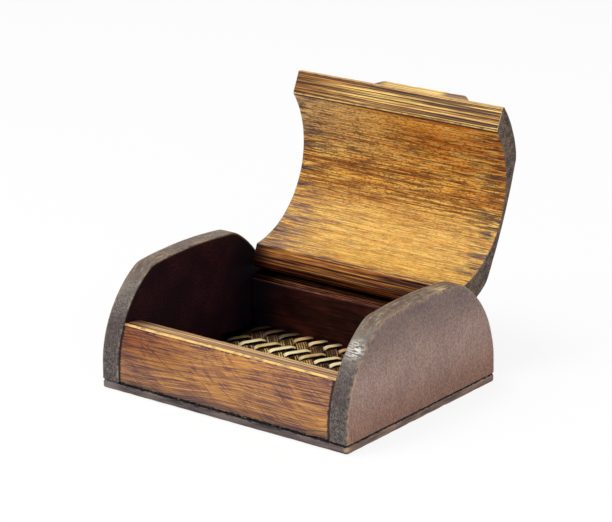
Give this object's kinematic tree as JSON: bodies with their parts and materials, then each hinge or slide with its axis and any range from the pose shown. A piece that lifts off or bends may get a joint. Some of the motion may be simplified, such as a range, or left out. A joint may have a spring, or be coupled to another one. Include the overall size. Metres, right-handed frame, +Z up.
{
  "type": "wooden card box",
  "caption": "Small arched desk box for cards: dark end panels, bamboo walls, a woven floor mat and a curved bamboo lid with a pull, which swings open on blind pins.",
  "frame": {"origin": "middle of the base board's underside", "axes": "+Z up, front towards -Y, right end panel towards +X"},
  "size_m": [0.11, 0.1198, 0.0965],
  "materials": {
    "dark_wood": "dull, worn",
    "bamboo": "satin varnish over streaky grain",
    "peg_wood": "plain",
    "split_reed": "woven, pale floats over dark bundles"
  },
  "bodies": {
    "box": {"base_board": "dark_wood", "left_end_panel": "dark_wood", "right_end_panel": "dark_wood", "front_wall": "bamboo", "back_wall": "bamboo", "front_wall_dowels": "peg_wood", "back_wall_dowels": "peg_wood", "left_hinge_pin": "peg_wood", "right_hinge_pin": "peg_wood", "floor_mat": "split_reed"},
    "lid": {"lid": "bamboo", "lid_pull": "bamboo"}
  },
  "joints": [
    {"name": "lid_hinge", "type": "hinge", "parent": "box", "child": "lid", "pos_m": [0, 0.0347, 0.0281], "axis": [1, 0, 0], "range_deg": [0, 113.5]}
  ]
}
